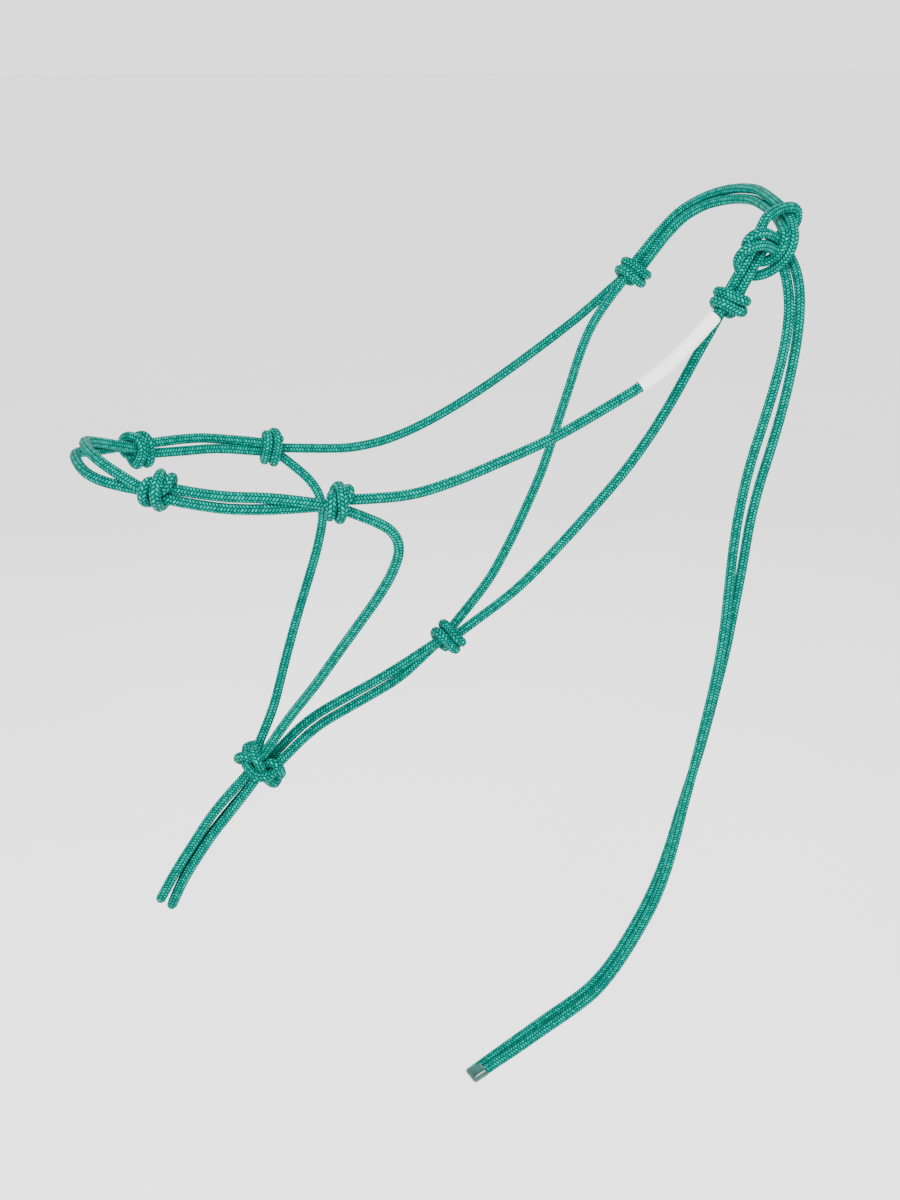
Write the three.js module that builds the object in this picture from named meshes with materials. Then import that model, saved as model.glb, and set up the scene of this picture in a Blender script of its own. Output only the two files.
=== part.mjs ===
import * as THREE from 'three';

// Rope halter in the shape it takes on a horse's head. Millimetres, +Z up, nose towards -X, the
// horse's left side towards -Y. The origin is on the median plane, under the crown strands at the
// poll, where the head carries the halter.

// Driving dimensions
const ROPE = 6.0;
const ROPE_SIDES = 8;
const FACET = 15.0;
const BEND_FACET = 9.0;
const TIGHT_FACET = 4.5;
const LOOP_FACET = 7.0;
const GAP = 0.4;
const SLEEVE_INNER = 7.2;
const SLEEVE_OUTER = 8.6;
const SLEEVE_SIDES = 12;
const SLEEVE_FACET = 7.5;
const CAP_LENGTH = 11.0;
const CAP_WALL = 0.8;
const CAP_CLEARANCE = 0.5;
const CAP_OVERHANG = 1.5;
const TAIL_HINGE_GAP = 2.4;
const LOOP_ROOT = 3.0;
const ROPE_TEAL = '#1f9e8b';
const SLEEVE_WHITE = '#eef0ee';
const CAP_GREEN = '#0f4f4a';

// Knots: centre, half-widths along X, Y and Z
const knots = {
  nose_knot_left: { at: [-391, -55, -145], half: [13, 11, 14] },
  nose_knot_right: { at: [-387, 55, -142], half: [13, 11, 14] },
  side_knot_left: { at: [-292, -79, -152], half: [12, 11, 12] },
  side_knot_right: { at: [-296, 79, -154], half: [12, 11, 12] },
  crown_knot_left: { at: [-48, -71, -50], half: [11, 11, 12] },
  crown_knot_right: { at: [-47, 70, -49], half: [10, 11, 11] },
  fiador_knot: { at: [-329, 0, -346], half: [13, 12, 14] },
  jowl_knot: { at: [-201, 0, -270], half: [10, 10, 10] },
  crown_hitch: { at: [-26, -73, -21], half: [16, 11, 17] },
};

// Rope routes between the knots. Each starts and ends inside a knot and is cut back to its skin.
const strands = [
  {
    name: 'nose_strand_upper',
    ends: ['nose_knot_left', 'nose_knot_right'],
    facet: BEND_FACET,
    route: [
      [-388, -56, -141], [-396, -55, -139], [-407, -50, -134], [-416, -38, -129], [-421, -22, -126],
      [-423, -5, -125], [-422, 12, -126], [-416, 29, -130], [-406, 42, -135], [-394, 52, -139],
      [-386, 56, -141],
    ],
  },
  {
    name: 'nose_strand_lower',
    ends: ['nose_knot_left', 'nose_knot_right'],
    facet: BEND_FACET,
    route: [
      [-388, -56, -148], [-397, -55, -146], [-409, -51, -143], [-419, -41, -139], [-426, -26, -135],
      [-429, -8, -132.5], [-428, 10, -132.5], [-422, 27, -135.5], [-411, 41, -140.5], [-397, 52, -145.5],
      [-386, 56, -148],
    ],
  },
  {
    name: 'nose_side_strand_left_upper',
    ends: ['nose_knot_left', 'side_knot_left'],
    route: [
      [-388, -55, -144], [-380, -58, -144.5], [-368, -63, -144.5], [-352, -69, -144.5],
      [-333, -74, -145], [-314, -78, -146], [-300, -79, -147.5], [-290, -79, -149],
    ],
  },
  {
    name: 'nose_side_strand_left_lower',
    ends: ['nose_knot_left', 'side_knot_left'],
    route: [
      [-388, -55, -151], [-380, -58, -151], [-368, -63, -151.5], [-352, -69, -151.5],
      [-333, -74, -152], [-314, -78, -153], [-300, -79, -154.5], [-290, -79, -156],
    ],
  },
  {
    name: 'nose_side_strand_right_upper',
    ends: ['nose_knot_right', 'side_knot_right'],
    route: [
      [-384, 55, -139.5], [-377, 58, -140], [-362, 65, -141], [-345, 72, -143], [-327, 78, -147],
      [-310, 82, -151], [-294, 83, -153],
    ],
  },
  {
    name: 'nose_side_strand_right_lower',
    ends: ['nose_knot_right', 'side_knot_right'],
    route: [
      [-384, 55, -147.5], [-377, 57, -148], [-362, 62, -149], [-345, 67, -149.5], [-328, 71.5, -150.5],
      [-310, 75, -152], [-294, 76, -153],
    ],
  },
  {
    name: 'cheek_strand_left',
    ends: ['side_knot_left', 'crown_knot_left'],
    facet: SLEEVE_FACET,
    route: [
      [-290, -79, -151], [-274, -80, -151.5], [-255, -80.5, -150], [-225, -81, -143.5],
      [-194, -81, -133.5], [-160, -80, -121.5], [-132, -78.5, -109], [-102, -77, -94], [-78, -76, -77.5],
      [-60, -75, -62], [-47, -74, -51],
    ],
  },
  {
    name: 'cheek_strand_right',
    ends: ['side_knot_right', 'crown_knot_right'],
    route: [
      [-294, 79, -154], [-283, 79, -156], [-264, 80, -158.5], [-244, 80.5, -159.5], [-222, 81, -157],
      [-200, 81, -150.5], [-176, 81, -140], [-148, 80, -124.5], [-118, 79, -105.5], [-94, 77.5, -89],
      [-73, 76, -73.5], [-58, 75, -60.5], [-46, 74, -50],
    ],
  },
  {
    name: 'chin_strand_left',
    ends: ['side_knot_left', 'fiador_knot'],
    route: [
      [-290, -79, -158], [-280, -79.5, -158], [-268, -80, -160.5], [-258.5, -78.5, -168.5],
      [-255, -75.5, -181], [-257.5, -70, -197], [-264, -62, -214.5], [-274.5, -51.5, -236],
      [-285, -41, -257], [-296, -29, -280], [-309, -16, -304], [-321, -6.5, -325], [-329, -3, -342],
    ],
  },
  {
    name: 'chin_strand_right',
    ends: ['side_knot_right', 'fiador_knot'],
    route: [
      [-293, 79, -157], [-285, 79.5, -162], [-275, 79, -171], [-267, 76.5, -184.5], [-265.5, 71, -201.5],
      [-271, 63, -219], [-279.5, 54, -237], [-289, 44, -255], [-300.5, 31, -278], [-311.5, 18, -302],
      [-321, 7, -326], [-328, 3, -344],
    ],
  },
  {
    name: 'throat_strand_upper',
    ends: ['fiador_knot', 'jowl_knot'],
    route: [
      [-327, 0, -341], [-315, 0, -331.5], [-302, 0, -321.5], [-288, 0, -313.5], [-272, 0, -306],
      [-254, 0, -298], [-234, 0, -288.5], [-217, 0, -279], [-201, 0, -269],
    ],
  },
  {
    name: 'throat_strand_lower',
    ends: ['fiador_knot', 'jowl_knot'],
    route: [
      [-323, 0, -348], [-312, 0, -338], [-299, 0, -328.5], [-285, 0, -320.5], [-268, 0, -312.5],
      [-250.5, 0, -304.5], [-231, 0, -295], [-214, 0, -285.5], [-197, 0, -275],
    ],
  },
  {
    name: 'jowl_strand_left',
    ends: ['jowl_knot', 'crown_knot_left'],
    route: [
      [-201, -2, -271], [-191, -5, -264.5], [-182, -9, -257], [-170, -16, -245.5], [-157, -24, -230.5],
      [-142.5, -32, -211.5], [-128, -39, -192], [-114, -45.5, -172.5], [-101, -51.5, -153.5],
      [-89, -56.5, -133.5], [-78, -60.5, -113], [-68, -63, -93], [-57.5, -64.5, -72], [-46, -66, -52],
    ],
  },
  {
    name: 'jowl_strand_right',
    ends: ['jowl_knot', 'crown_knot_right'],
    route: [
      [-202, 3, -268], [-191, 6.5, -261.5], [-178, 12, -252.5], [-163, 20, -239], [-147.5, 29, -221],
      [-132, 38, -199.5], [-117.5, 46, -176], [-105.5, 53, -150.5], [-94, 58.5, -123.5],
      [-84, 62, -98.5], [-73, 65, -78], [-62, 66.5, -64], [-50, 67.5, -52],
    ],
  },
  {
    name: 'crown_strand_outer',
    ends: ['crown_knot_right', 'crown_hitch'],
    facet: BEND_FACET,
    route: [
      [-45, 72, -49], [-36, 71.5, -37], [-29, 67.5, -25], [-20, 58.5, -11.5], [-10, 42, 0], [-3, 17, 7.5],
      [-0.5, -11, 9.5], [-3, -34, 7.5], [-8, -51, 1], [-15, -62, -8], [-22, -69, -18],
    ],
  },
  {
    name: 'crown_strand_inner',
    ends: ['crown_knot_right', 'crown_hitch'],
    facet: BEND_FACET,
    route: [
      [-44, 66, -50], [-36, 66, -42], [-28.5, 61, -31], [-20, 51, -17.5], [-11.5, 36, -7], [-4.5, 14, 1],
      [-2, -11, 3], [-4, -31, 1], [-9.5, -46, -5], [-17, -57, -14], [-24, -67, -22],
    ],
  },
  {
    name: 'crown_loop_leg_front',
    ends: ['crown_knot_left', 'crown_hitch'],
    route: [
      [-47, -74, -49], [-43, -75, -40], [-38, -76, -32], [-32, -76, -24],
    ],
  },
  {
    name: 'crown_loop_leg_rear',
    ends: ['crown_knot_left', 'crown_hitch'],
    route: [
      [-43, -67, -53], [-37, -68, -44], [-31, -69, -36], [-25, -70, -28],
    ],
  },
  {
    name: 'crown_loop_bight',
    ends: ['crown_hitch', 'crown_hitch'],
    facet: TIGHT_FACET,
    route: [
      [-30, -73, -12], [-27.5, -73, 0], [-21, -73, 6], [-12, -72, 8], [-4, -71, 5], [-1, -70, -2],
      [-5, -69, -9], [-14, -69, -14],
    ],
  },
];

// The tail hangs free from the hitch as two strands side by side, hinged once on its way down.
const tail = {
  leading: [
    [-16, -84, -33], [-13.5, -84, -43], [-12.5, -84, -55], [-14, -84, -73], [-18.5, -84, -96],
    [-25, -84, -121], [-32, -84, -146], [-37, -84, -171], [-40, -84, -196], [-42, -84.5, -226],
    [-44.5, -86, -256], [-48.5, -87, -285], [-53, -87, -310], [-58, -87, -335], [-63, -87, -359],
    [-67.5, -87, -380], [-72, -87, -403], [-77, -87, -423], [-84, -87, -443], [-93, -87, -461],
    [-103, -87, -478], [-113.5, -87, -493], [-125, -87, -505.5], [-137.5, -87, -514],
    [-151, -87, -521.5], [-165, -87, -529], [-180.5, -87, -537.5], [-196, -87, -545.5],
    [-212, -87, -554],
  ],
  trailing: [
    [-9, -84, -31], [-7, -84, -42], [-6, -84, -55], [-6.5, -84, -73], [-9, -84, -93],
    [-13.5, -84, -117], [-19.5, -84, -141], [-25.5, -84, -163], [-30, -84, -186], [-33, -83.5, -214],
    [-36, -82, -243], [-39, -80.5, -270], [-43.5, -80.5, -293], [-48.5, -80.5, -317],
    [-54, -80.5, -341], [-60, -80.5, -362], [-66, -80.5, -383], [-72.5, -80.5, -408],
    [-79, -80.5, -428], [-87, -80.5, -447], [-96.5, -80.5, -465], [-107, -80.5, -482],
    [-118, -80.5, -496], [-129.5, -80.5, -506.5], [-142, -80.5, -514], [-156, -80.5, -521.5],
    [-170, -80.5, -529.5], [-184, -80.5, -537.5], [-198, -80.5, -545.5], [-212, -80.5, -554],
  ],
};
const TAIL_TOP = -47;
const TAIL_BEND = [-57, -84, -336];

// A lead loop is a bight of rope whose two legs lie side by side across the halter.
const loops = [
  {
    name: 'lead_loop_front',
    spread: 5.2,
    leg: [
      [-340, -350], [-348, -359], [-357.5, -370], [-366, -381.5], [-374, -393], [-382, -404.5],
      [-389.5, -416], [-396, -427],
    ],
  },
  {
    name: 'lead_loop_rear',
    spread: 5.2,
    leg: [
      [-331.5, -356], [-340.5, -365], [-351, -376], [-360.5, -387], [-369, -398.5], [-377, -410],
      [-384, -421.5], [-389.5, -432.5],
    ],
  },
];

function fabric(colour) {
  return new THREE.MeshStandardMaterial({ color: colour, roughness: 0.7, metalness: 0 });
}

function vector(point) {
  return new THREE.Vector3(...point);
}

// Part of a smooth curve, between two lengths along it
class Stretch extends THREE.Curve {
  constructor(whole, from, to) {
    super();
    const length = whole.getLength();
    this.whole = whole;
    this.from = from / length;
    this.to = to / length;
  }

  getPoint(t, target = new THREE.Vector3()) {
    return target.copy(this.whole.getPointAt(THREE.MathUtils.lerp(this.from, this.to, t)));
  }
}

function ring(diameter, sides) {
  const points = [];
  for (let i = 0; i < sides; i += 1) {
    const angle = (2 * Math.PI * i) / sides;
    points.push(new THREE.Vector2(Math.cos(angle) * diameter / 2, Math.sin(angle) * diameter / 2));
  }
  return points;
}

function sweep(name, shape, curve, facet, material) {
  const steps = Math.max(1, Math.round(curve.getLength() / facet));
  const geometry = new THREE.ExtrudeGeometry(shape, { steps, bevelEnabled: false, extrudePath: curve });
  const mesh = new THREE.Mesh(geometry, material);
  mesh.name = name;
  return mesh;
}

function ropeMesh(name, curve, facet = FACET) {
  return sweep(name, new THREE.Shape(ring(ROPE, ROPE_SIDES)), curve, facet, fabric(ROPE_TEAL));
}

// True while the rope's end face at this place on the curve touches the knot
function touches(curve, at, knot) {
  const t = at / curve.getLength();
  const centre = curve.getPointAt(t);
  const along = curve.getTangentAt(t);
  const across = new THREE.Vector3(0, 1, 0).cross(along).normalize();
  const up = along.clone().cross(across);
  const half = vector(knot.half).addScalar(GAP);
  const inside = (point) => point.clone().sub(vector(knot.at)).divide(half).length() < 1;
  if (inside(centre)) return true;
  return ring(ROPE, ROPE_SIDES).some((p) => (
    inside(centre.clone().addScaledVector(across, p.x).addScaledVector(up, p.y))
  ));
}

function knotMesh(name, knot) {
  const geometry = new THREE.SphereGeometry(1, 14, 10);
  geometry.scale(...knot.half);
  const mesh = new THREE.Mesh(geometry, fabric(ROPE_TEAL));
  mesh.position.set(...knot.at);
  mesh.name = name;
  return mesh;
}

// The stretch of a route that lies clear of the knots at its two ends
function clearOf(route, firstKnot, lastKnot) {
  const whole = new THREE.CatmullRomCurve3(route.map(vector), false, 'centripetal');
  whole.arcLengthDivisions = 400;
  const nudge = 0.25;
  let from = 0;
  let to = whole.getLength();
  while (firstKnot && touches(whole, from, firstKnot)) from += nudge;
  while (lastKnot && touches(whole, to, lastKnot)) to -= nudge;
  return { whole, from, to };
}

// The length along a curve where it first comes down to a height
function lengthAtHeight(curve, height) {
  const length = curve.getLength();
  const nudge = 0.25;
  let at = 0;
  while (at < length && curve.getPointAt(at / length).z > height) at += nudge;
  return at;
}

const halter = new THREE.Group();

for (const [name, knot] of Object.entries(knots)) {
  halter.add(knotMesh(name, knot));
}

for (const { name, ends, route, facet } of strands) {
  const { whole, from, to } = clearOf(route, knots[ends[0]], knots[ends[1]]);
  halter.add(ropeMesh(name, new Stretch(whole, from, to), facet));
  if (name === 'cheek_strand_left') {
    const shape = new THREE.Shape(ring(SLEEVE_OUTER, SLEEVE_SIDES));
    shape.holes.push(new THREE.Path(ring(SLEEVE_INNER, SLEEVE_SIDES)));
    const sleeveEnd = to - 2.5;
    const sleeve = new Stretch(whole, sleeveEnd - 8 * SLEEVE_FACET, sleeveEnd);
    const material = new THREE.MeshStandardMaterial({ color: SLEEVE_WHITE, roughness: 0.5, metalness: 0 });
    halter.add(sweep('label_sleeve', shape, sleeve, SLEEVE_FACET, material));
  }
}

for (const [side, route] of Object.entries(tail)) {
  const { whole, from, to } = clearOf(route, null, null);
  const top = lengthAtHeight(whole, TAIL_TOP);
  const bend = lengthAtHeight(whole, TAIL_BEND[2]);
  halter.add(ropeMesh(`tail_upper_${side}`, new Stretch(whole, top, bend - TAIL_HINGE_GAP)));
  halter.add(ropeMesh(`tail_lower_${side}`, new Stretch(whole, bend + TAIL_HINGE_GAP, to)));
}

function tailCap() {
  const leading = vector(tail.leading.at(-1));
  const trailing = vector(tail.trailing.at(-1));
  const centre = leading.clone().add(trailing).divideScalar(2);
  const along = leading.clone().sub(vector(tail.leading.at(-2))).normalize();
  const inner = new THREE.Vector2(ROPE / 2 + CAP_CLEARANCE, leading.distanceTo(trailing) / 2);
  const oval = (radius) => {
    const points = [];
    const corners = 8;
    for (const end of [1, -1]) {
      for (let i = 0; i <= corners; i += 1) {
        const angle = (Math.PI * i) / corners;
        points.push(new THREE.Vector2(
          end * radius * Math.cos(angle),
          end * (inner.y + radius * Math.sin(angle)),
        ));
      }
    }
    return points;
  };
  const shape = new THREE.Shape(oval(inner.x + CAP_WALL));
  shape.holes.push(new THREE.Path(oval(inner.x)));
  const geometry = new THREE.ExtrudeGeometry(shape, { depth: CAP_LENGTH, bevelEnabled: false });
  const across = new THREE.Vector3(0, 1, 0).cross(along).normalize();
  const basis = new THREE.Matrix4().makeBasis(across, new THREE.Vector3(0, 1, 0), across.clone().cross(
    new THREE.Vector3(0, 1, 0)));
  geometry.applyMatrix4(basis);
  const material = new THREE.MeshStandardMaterial({ color: CAP_GREEN, roughness: 0.2, metalness: 0 });
  const mesh = new THREE.Mesh(geometry, material);
  mesh.position.copy(centre.addScaledVector(along, CAP_OVERHANG - CAP_LENGTH));
  mesh.name = 'tail_cap';
  return mesh;
}
halter.add(tailCap());

for (const { name, spread, leg } of loops) {
  const front = leg.map(([x, z]) => [x, -spread, z]);
  const rear = leg.map(([x, z]) => [x, spread, z]).reverse();
  const [endX, endZ] = leg.at(-1);
  const [lastX, lastZ] = leg.at(-2);
  const down = new THREE.Vector2(endX - lastX, endZ - lastZ).normalize();
  const turn = [45, 90, 135].map((degrees) => {
    const angle = THREE.MathUtils.degToRad(degrees);
    const reach = spread * Math.sin(angle);
    return [endX + down.x * reach, -spread * Math.cos(angle), endZ + down.y * reach];
  });
  const { whole, from, to } = clearOf([...front, ...turn, ...rear], knots.fiador_knot, knots.fiador_knot);
  halter.add(ropeMesh(name, new Stretch(whole, from + LOOP_ROOT, to - LOOP_ROOT), LOOP_FACET));
}

export default halter;
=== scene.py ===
"""A rope halter in braided teal polyester cord, tied by hand and hung in the shape of a head."""
import math

import bpy
import numpy as np
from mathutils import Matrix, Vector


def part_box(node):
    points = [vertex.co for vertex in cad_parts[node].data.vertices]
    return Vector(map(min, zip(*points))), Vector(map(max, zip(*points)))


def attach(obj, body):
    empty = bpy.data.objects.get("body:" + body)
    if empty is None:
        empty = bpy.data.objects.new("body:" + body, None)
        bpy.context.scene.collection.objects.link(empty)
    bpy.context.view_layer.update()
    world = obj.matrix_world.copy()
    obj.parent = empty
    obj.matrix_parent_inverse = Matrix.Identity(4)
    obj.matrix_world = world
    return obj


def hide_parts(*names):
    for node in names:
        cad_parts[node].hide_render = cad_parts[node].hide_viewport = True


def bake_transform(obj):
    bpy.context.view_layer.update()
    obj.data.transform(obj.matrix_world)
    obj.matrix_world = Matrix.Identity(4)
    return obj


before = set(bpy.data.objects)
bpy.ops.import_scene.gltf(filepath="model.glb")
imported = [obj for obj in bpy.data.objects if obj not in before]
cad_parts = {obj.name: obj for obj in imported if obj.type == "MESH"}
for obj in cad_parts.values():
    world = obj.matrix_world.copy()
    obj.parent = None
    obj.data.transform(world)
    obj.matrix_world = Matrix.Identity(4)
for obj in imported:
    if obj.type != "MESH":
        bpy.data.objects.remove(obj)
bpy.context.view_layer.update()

# ---------------------------------------------------------------------------------------------
# Sizes, in metres

MM = 0.001
CORD = 6.0 * MM                # the cord's diameter
COLUMNS = 8                    # columns of braid floats round the cord
PITCH = 1.9 * MM               # length of cord from one float to the next in its column
FLOAT_SLANT = 0.62             # how far a float leans, in pitches across its column
RELIEF = 0.30 * MM             # height of a float over the gap beside it
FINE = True
ROUND = 40 if FINE else 16     # vertices round the cord
RING_STEP = (0.4 if FINE else 1.4) * MM
NODE_STEP = 1.5 * MM           # spacing of the points that are settled into knots

TEAL = "#006054"
TEAL_DEEP = "#004a40"
TEAL_BRIGHT = "#007567"
# Colour of the painted highlight on the float tops, also the tint of the real specular
TEAL_PAINTED_HIGHLIGHT = "#08ab9a"
# Colour of the painted shade in the gaps between floats
TEAL_PAINTED_GAP_SHADE = "#002620"


def mm(*points):
    return np.array(points, dtype=float) * MM


# ---------------------------------------------------------------------------------------------
# Camera

def add_camera():
    aim = np.array([-0.199, 0.0, -0.246])
    azimuth, elevation, distance = math.radians(-18.4), math.radians(19.6), 1.0
    back = np.array([
        math.sin(azimuth) * math.cos(elevation),
        -math.cos(azimuth) * math.cos(elevation),
        math.sin(elevation),
    ])
    data = bpy.data.cameras.new("camera")
    data.sensor_fit = "HORIZONTAL"
    data.sensor_width = 36.0
    data.lens = 61.3
    camera = bpy.data.objects.new("camera", data)
    bpy.context.scene.collection.objects.link(camera)
    camera.location = aim + back * distance
    camera.rotation_euler = (math.pi / 2 - elevation, 0.0, azimuth)
    bpy.context.scene.camera = camera


add_camera()

# ---------------------------------------------------------------------------------------------
# Cord routes: the strands between the knots, each from the middle of one knot to the next

ROUTES = {
    "nose_strand_upper": mm(
        (-388, -56, -141), (-396, -55, -139), (-407, -50, -134), (-416, -38, -129), (-421, -22, -126),
        (-423, -5, -125), (-422, 12, -126), (-416, 29, -130), (-406, 42, -135), (-394, 52, -139),
        (-386, 56, -141)),
    "nose_strand_lower": mm(
        (-388, -56, -148), (-397, -55, -146), (-409, -51, -143), (-419, -41, -139), (-426, -26, -135),
        (-429, -8, -132.5), (-428, 10, -132.5), (-422, 27, -135.5), (-411, 41, -140.5),
        (-397, 52, -145.5), (-386, 56, -148)),
    "nose_side_strand_left_upper": mm(
        (-388, -55, -144), (-380, -58, -144.5), (-368, -63, -144.5), (-352, -69, -144.5),
        (-333, -74, -145), (-314, -78, -146), (-300, -79, -147.5), (-290, -79, -149)),
    "nose_side_strand_left_lower": mm(
        (-388, -55, -151), (-380, -58, -151), (-368, -63, -151.5), (-352, -69, -151.5),
        (-333, -74, -152), (-314, -78, -153), (-300, -79, -154.5), (-290, -79, -156)),
    "nose_side_strand_right_upper": mm(
        (-384, 55, -139.5), (-377, 58, -140), (-362, 65, -141), (-345, 72, -143), (-327, 78, -147),
        (-310, 82, -151), (-294, 83, -153)),
    "nose_side_strand_right_lower": mm(
        (-384, 55, -147.5), (-377, 57, -148), (-362, 62, -149), (-345, 67, -149.5), (-328, 71.5, -150.5),
        (-310, 75, -152), (-294, 76, -153)),
    "cheek_strand_left": mm(
        (-290, -79, -151), (-274, -80, -151.5), (-255, -80.5, -150), (-225, -81, -143.5),
        (-194, -81, -133.5), (-160, -80, -121.5), (-132, -78.5, -109), (-102, -77, -94),
        (-78, -76, -77.5), (-60, -75, -62), (-47, -74, -51)),
    "cheek_strand_right": mm(
        (-294, 79, -154), (-283, 79, -156), (-264, 80, -158.5), (-244, 80.5, -159.5), (-222, 81, -157),
        (-200, 81, -150.5), (-176, 81, -140), (-148, 80, -124.5), (-118, 79, -105.5), (-94, 77.5, -89),
        (-73, 76, -73.5), (-58, 75, -60.5), (-46, 74, -50)),
    "chin_strand_left": mm(
        (-290, -79, -158), (-280, -79.5, -158), (-268, -80, -160.5), (-258.5, -78.5, -168.5),
        (-255, -75.5, -181), (-257.5, -70, -197), (-264, -62, -214.5), (-274.5, -51.5, -236),
        (-285, -41, -257), (-296, -29, -280), (-309, -16, -304), (-321, -6.5, -325), (-329, -3, -342)),
    "chin_strand_right": mm(
        (-293, 79, -157), (-285, 79.5, -162), (-275, 79, -171), (-267, 76.5, -184.5),
        (-265.5, 71, -201.5), (-271, 63, -219), (-279.5, 54, -237), (-289, 44, -255),
        (-300.5, 31, -278), (-311.5, 18, -302), (-321, 7, -326), (-328, 3, -344)),
    "throat_strand_upper": mm(
        (-327, 0, -341), (-315, 0, -331.5), (-302, 0, -321.5), (-288, 0, -313.5), (-272, 0, -306),
        (-254, 0, -298), (-234, 0, -288.5), (-217, 0, -279), (-201, 0, -269)),
    "throat_strand_lower": mm(
        (-323, 0, -348), (-312, 0, -338), (-299, 0, -328.5), (-285, 0, -320.5), (-268, 0, -312.5),
        (-250.5, 0, -304.5), (-231, 0, -295), (-214, 0, -285.5), (-197, 0, -275)),
    "jowl_strand_left": mm(
        (-201, -2, -271), (-191, -5, -264.5), (-182, -9, -257), (-170, -16, -245.5), (-157, -24, -230.5),
        (-142.5, -32, -211.5), (-128, -39, -192), (-114, -45.5, -172.5), (-101, -51.5, -153.5),
        (-89, -56.5, -133.5), (-78, -60.5, -113), (-68, -63, -93), (-57.5, -64.5, -72), (-46, -66, -52)),
    "jowl_strand_right": mm(
        (-202, 3, -268), (-191, 6.5, -261.5), (-178, 12, -252.5), (-163, 20, -239), (-147.5, 29, -221),
        (-132, 38, -199.5), (-117.5, 46, -176), (-105.5, 53, -150.5), (-94, 58.5, -123.5),
        (-84, 62, -98.5), (-73, 65, -78), (-62, 66.5, -64), (-50, 67.5, -52)),
    "crown_strand_outer": mm(
        (-45, 72, -49), (-36, 71.5, -37), (-29, 67.5, -25), (-20, 58.5, -11.5), (-10, 42, 0),
        (-3, 17, 7.5), (-0.5, -11, 9.5), (-3, -34, 7.5), (-8, -51, 1), (-15, -62, -8), (-22, -69, -18)),
    "crown_strand_inner": mm(
        (-44, 66, -50), (-36, 66, -42), (-28.5, 62.5, -29.5), (-20, 53, -15.5), (-11, 38, -5),
        (-4, 15, 1.3), (-2, -11, 3), (-4, -31, 1), (-9.5, -46, -5), (-17, -57, -14), (-24, -67, -22)),
    "tail_leading": mm(
        (-16, -84, -33), (-13.5, -84, -43), (-12.5, -84, -55), (-14, -84, -73), (-18.5, -84, -96),
        (-25, -84, -121), (-32, -84, -146), (-37, -84, -171), (-40, -84, -196), (-42, -84.5, -226),
        (-44.5, -86, -256), (-48.5, -87, -285), (-53, -87, -310), (-58, -87, -335), (-63, -87, -359),
        (-67.5, -87, -380), (-72, -87, -403), (-77, -87, -423), (-84, -87, -443), (-93, -87, -461),
        (-103, -87, -478), (-113.5, -87, -493), (-125, -87, -505.5), (-137.5, -87, -514),
        (-151, -87, -521.5), (-165, -87, -529), (-180.5, -87, -537.5), (-196, -87, -545.5),
        (-212, -87, -554)),
    "tail_trailing": mm(
        (-9, -84, -31), (-7, -84, -42), (-6, -84, -55), (-6.5, -84, -73), (-9, -84, -93),
        (-13.5, -84, -117), (-19.5, -84, -141), (-25.5, -84, -163), (-30, -84, -186), (-33, -83.5, -214),
        (-36, -82, -243), (-39, -80.5, -270), (-43.5, -80.5, -293), (-48.5, -80.5, -317),
        (-54, -80.5, -341), (-60, -80.5, -362), (-66, -80.5, -383), (-72.5, -80.5, -408),
        (-79, -80.5, -428), (-87, -80.5, -447), (-96.5, -80.5, -465), (-107, -80.5, -482),
        (-118, -80.5, -496), (-129.5, -80.5, -506.5), (-142, -80.5, -514), (-156, -80.5, -521.5),
        (-170, -80.5, -529.5), (-184, -80.5, -537.5), (-198, -80.5, -545.5), (-212, -80.5, -554)),
}

LOOP_SPREAD = 4.6 * MM         # half the distance between a lead loop's two legs
LOOP_ACROSS = {                # the way from a loop's right leg to its left one
    "lead_loop_front": (-0.27, -0.91, 0.31),
    "lead_loop_rear": (-0.22, -0.96, 0.15),
}
LOOP_LEGS = {
    "lead_loop_front": mm(
        (-340, 0, -350), (-348, 0, -359), (-357.5, 0, -370), (-366, 0, -381.5), (-374, 0, -393),
        (-382, 0, -404.5), (-389.5, 0, -416), (-396, 0, -427)),
    "lead_loop_rear": mm(
        (-331.5, 0, -356), (-340.5, 0, -365), (-351, 0, -376), (-360.5, 0, -387), (-369, 0, -398.5),
        (-377, 0, -410), (-384, 0, -421.5), (-389.5, 0, -432.5)),
}


def loop_route(leg, across):
    """Down the left leg, round the bight and up the right leg."""
    across = LOOP_SPREAD * np.array(across)
    down = leg[-1] - leg[-2]
    down *= LOOP_SPREAD / np.linalg.norm(down)
    turn = [leg[-1] + down * math.sin(a) + across * math.cos(a) for a in np.radians((45, 90, 135))]
    return np.vstack([leg + across, turn, (leg - across)[::-1]])


for loop_name, loop_leg in LOOP_LEGS.items():
    ROUTES[loop_name] = loop_route(loop_leg, LOOP_ACROSS[loop_name])

# ---------------------------------------------------------------------------------------------
# Curves


def lengths(points):
    return np.concatenate([[0.0], np.cumsum(np.linalg.norm(np.diff(points, axis=0), axis=1))])


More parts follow.
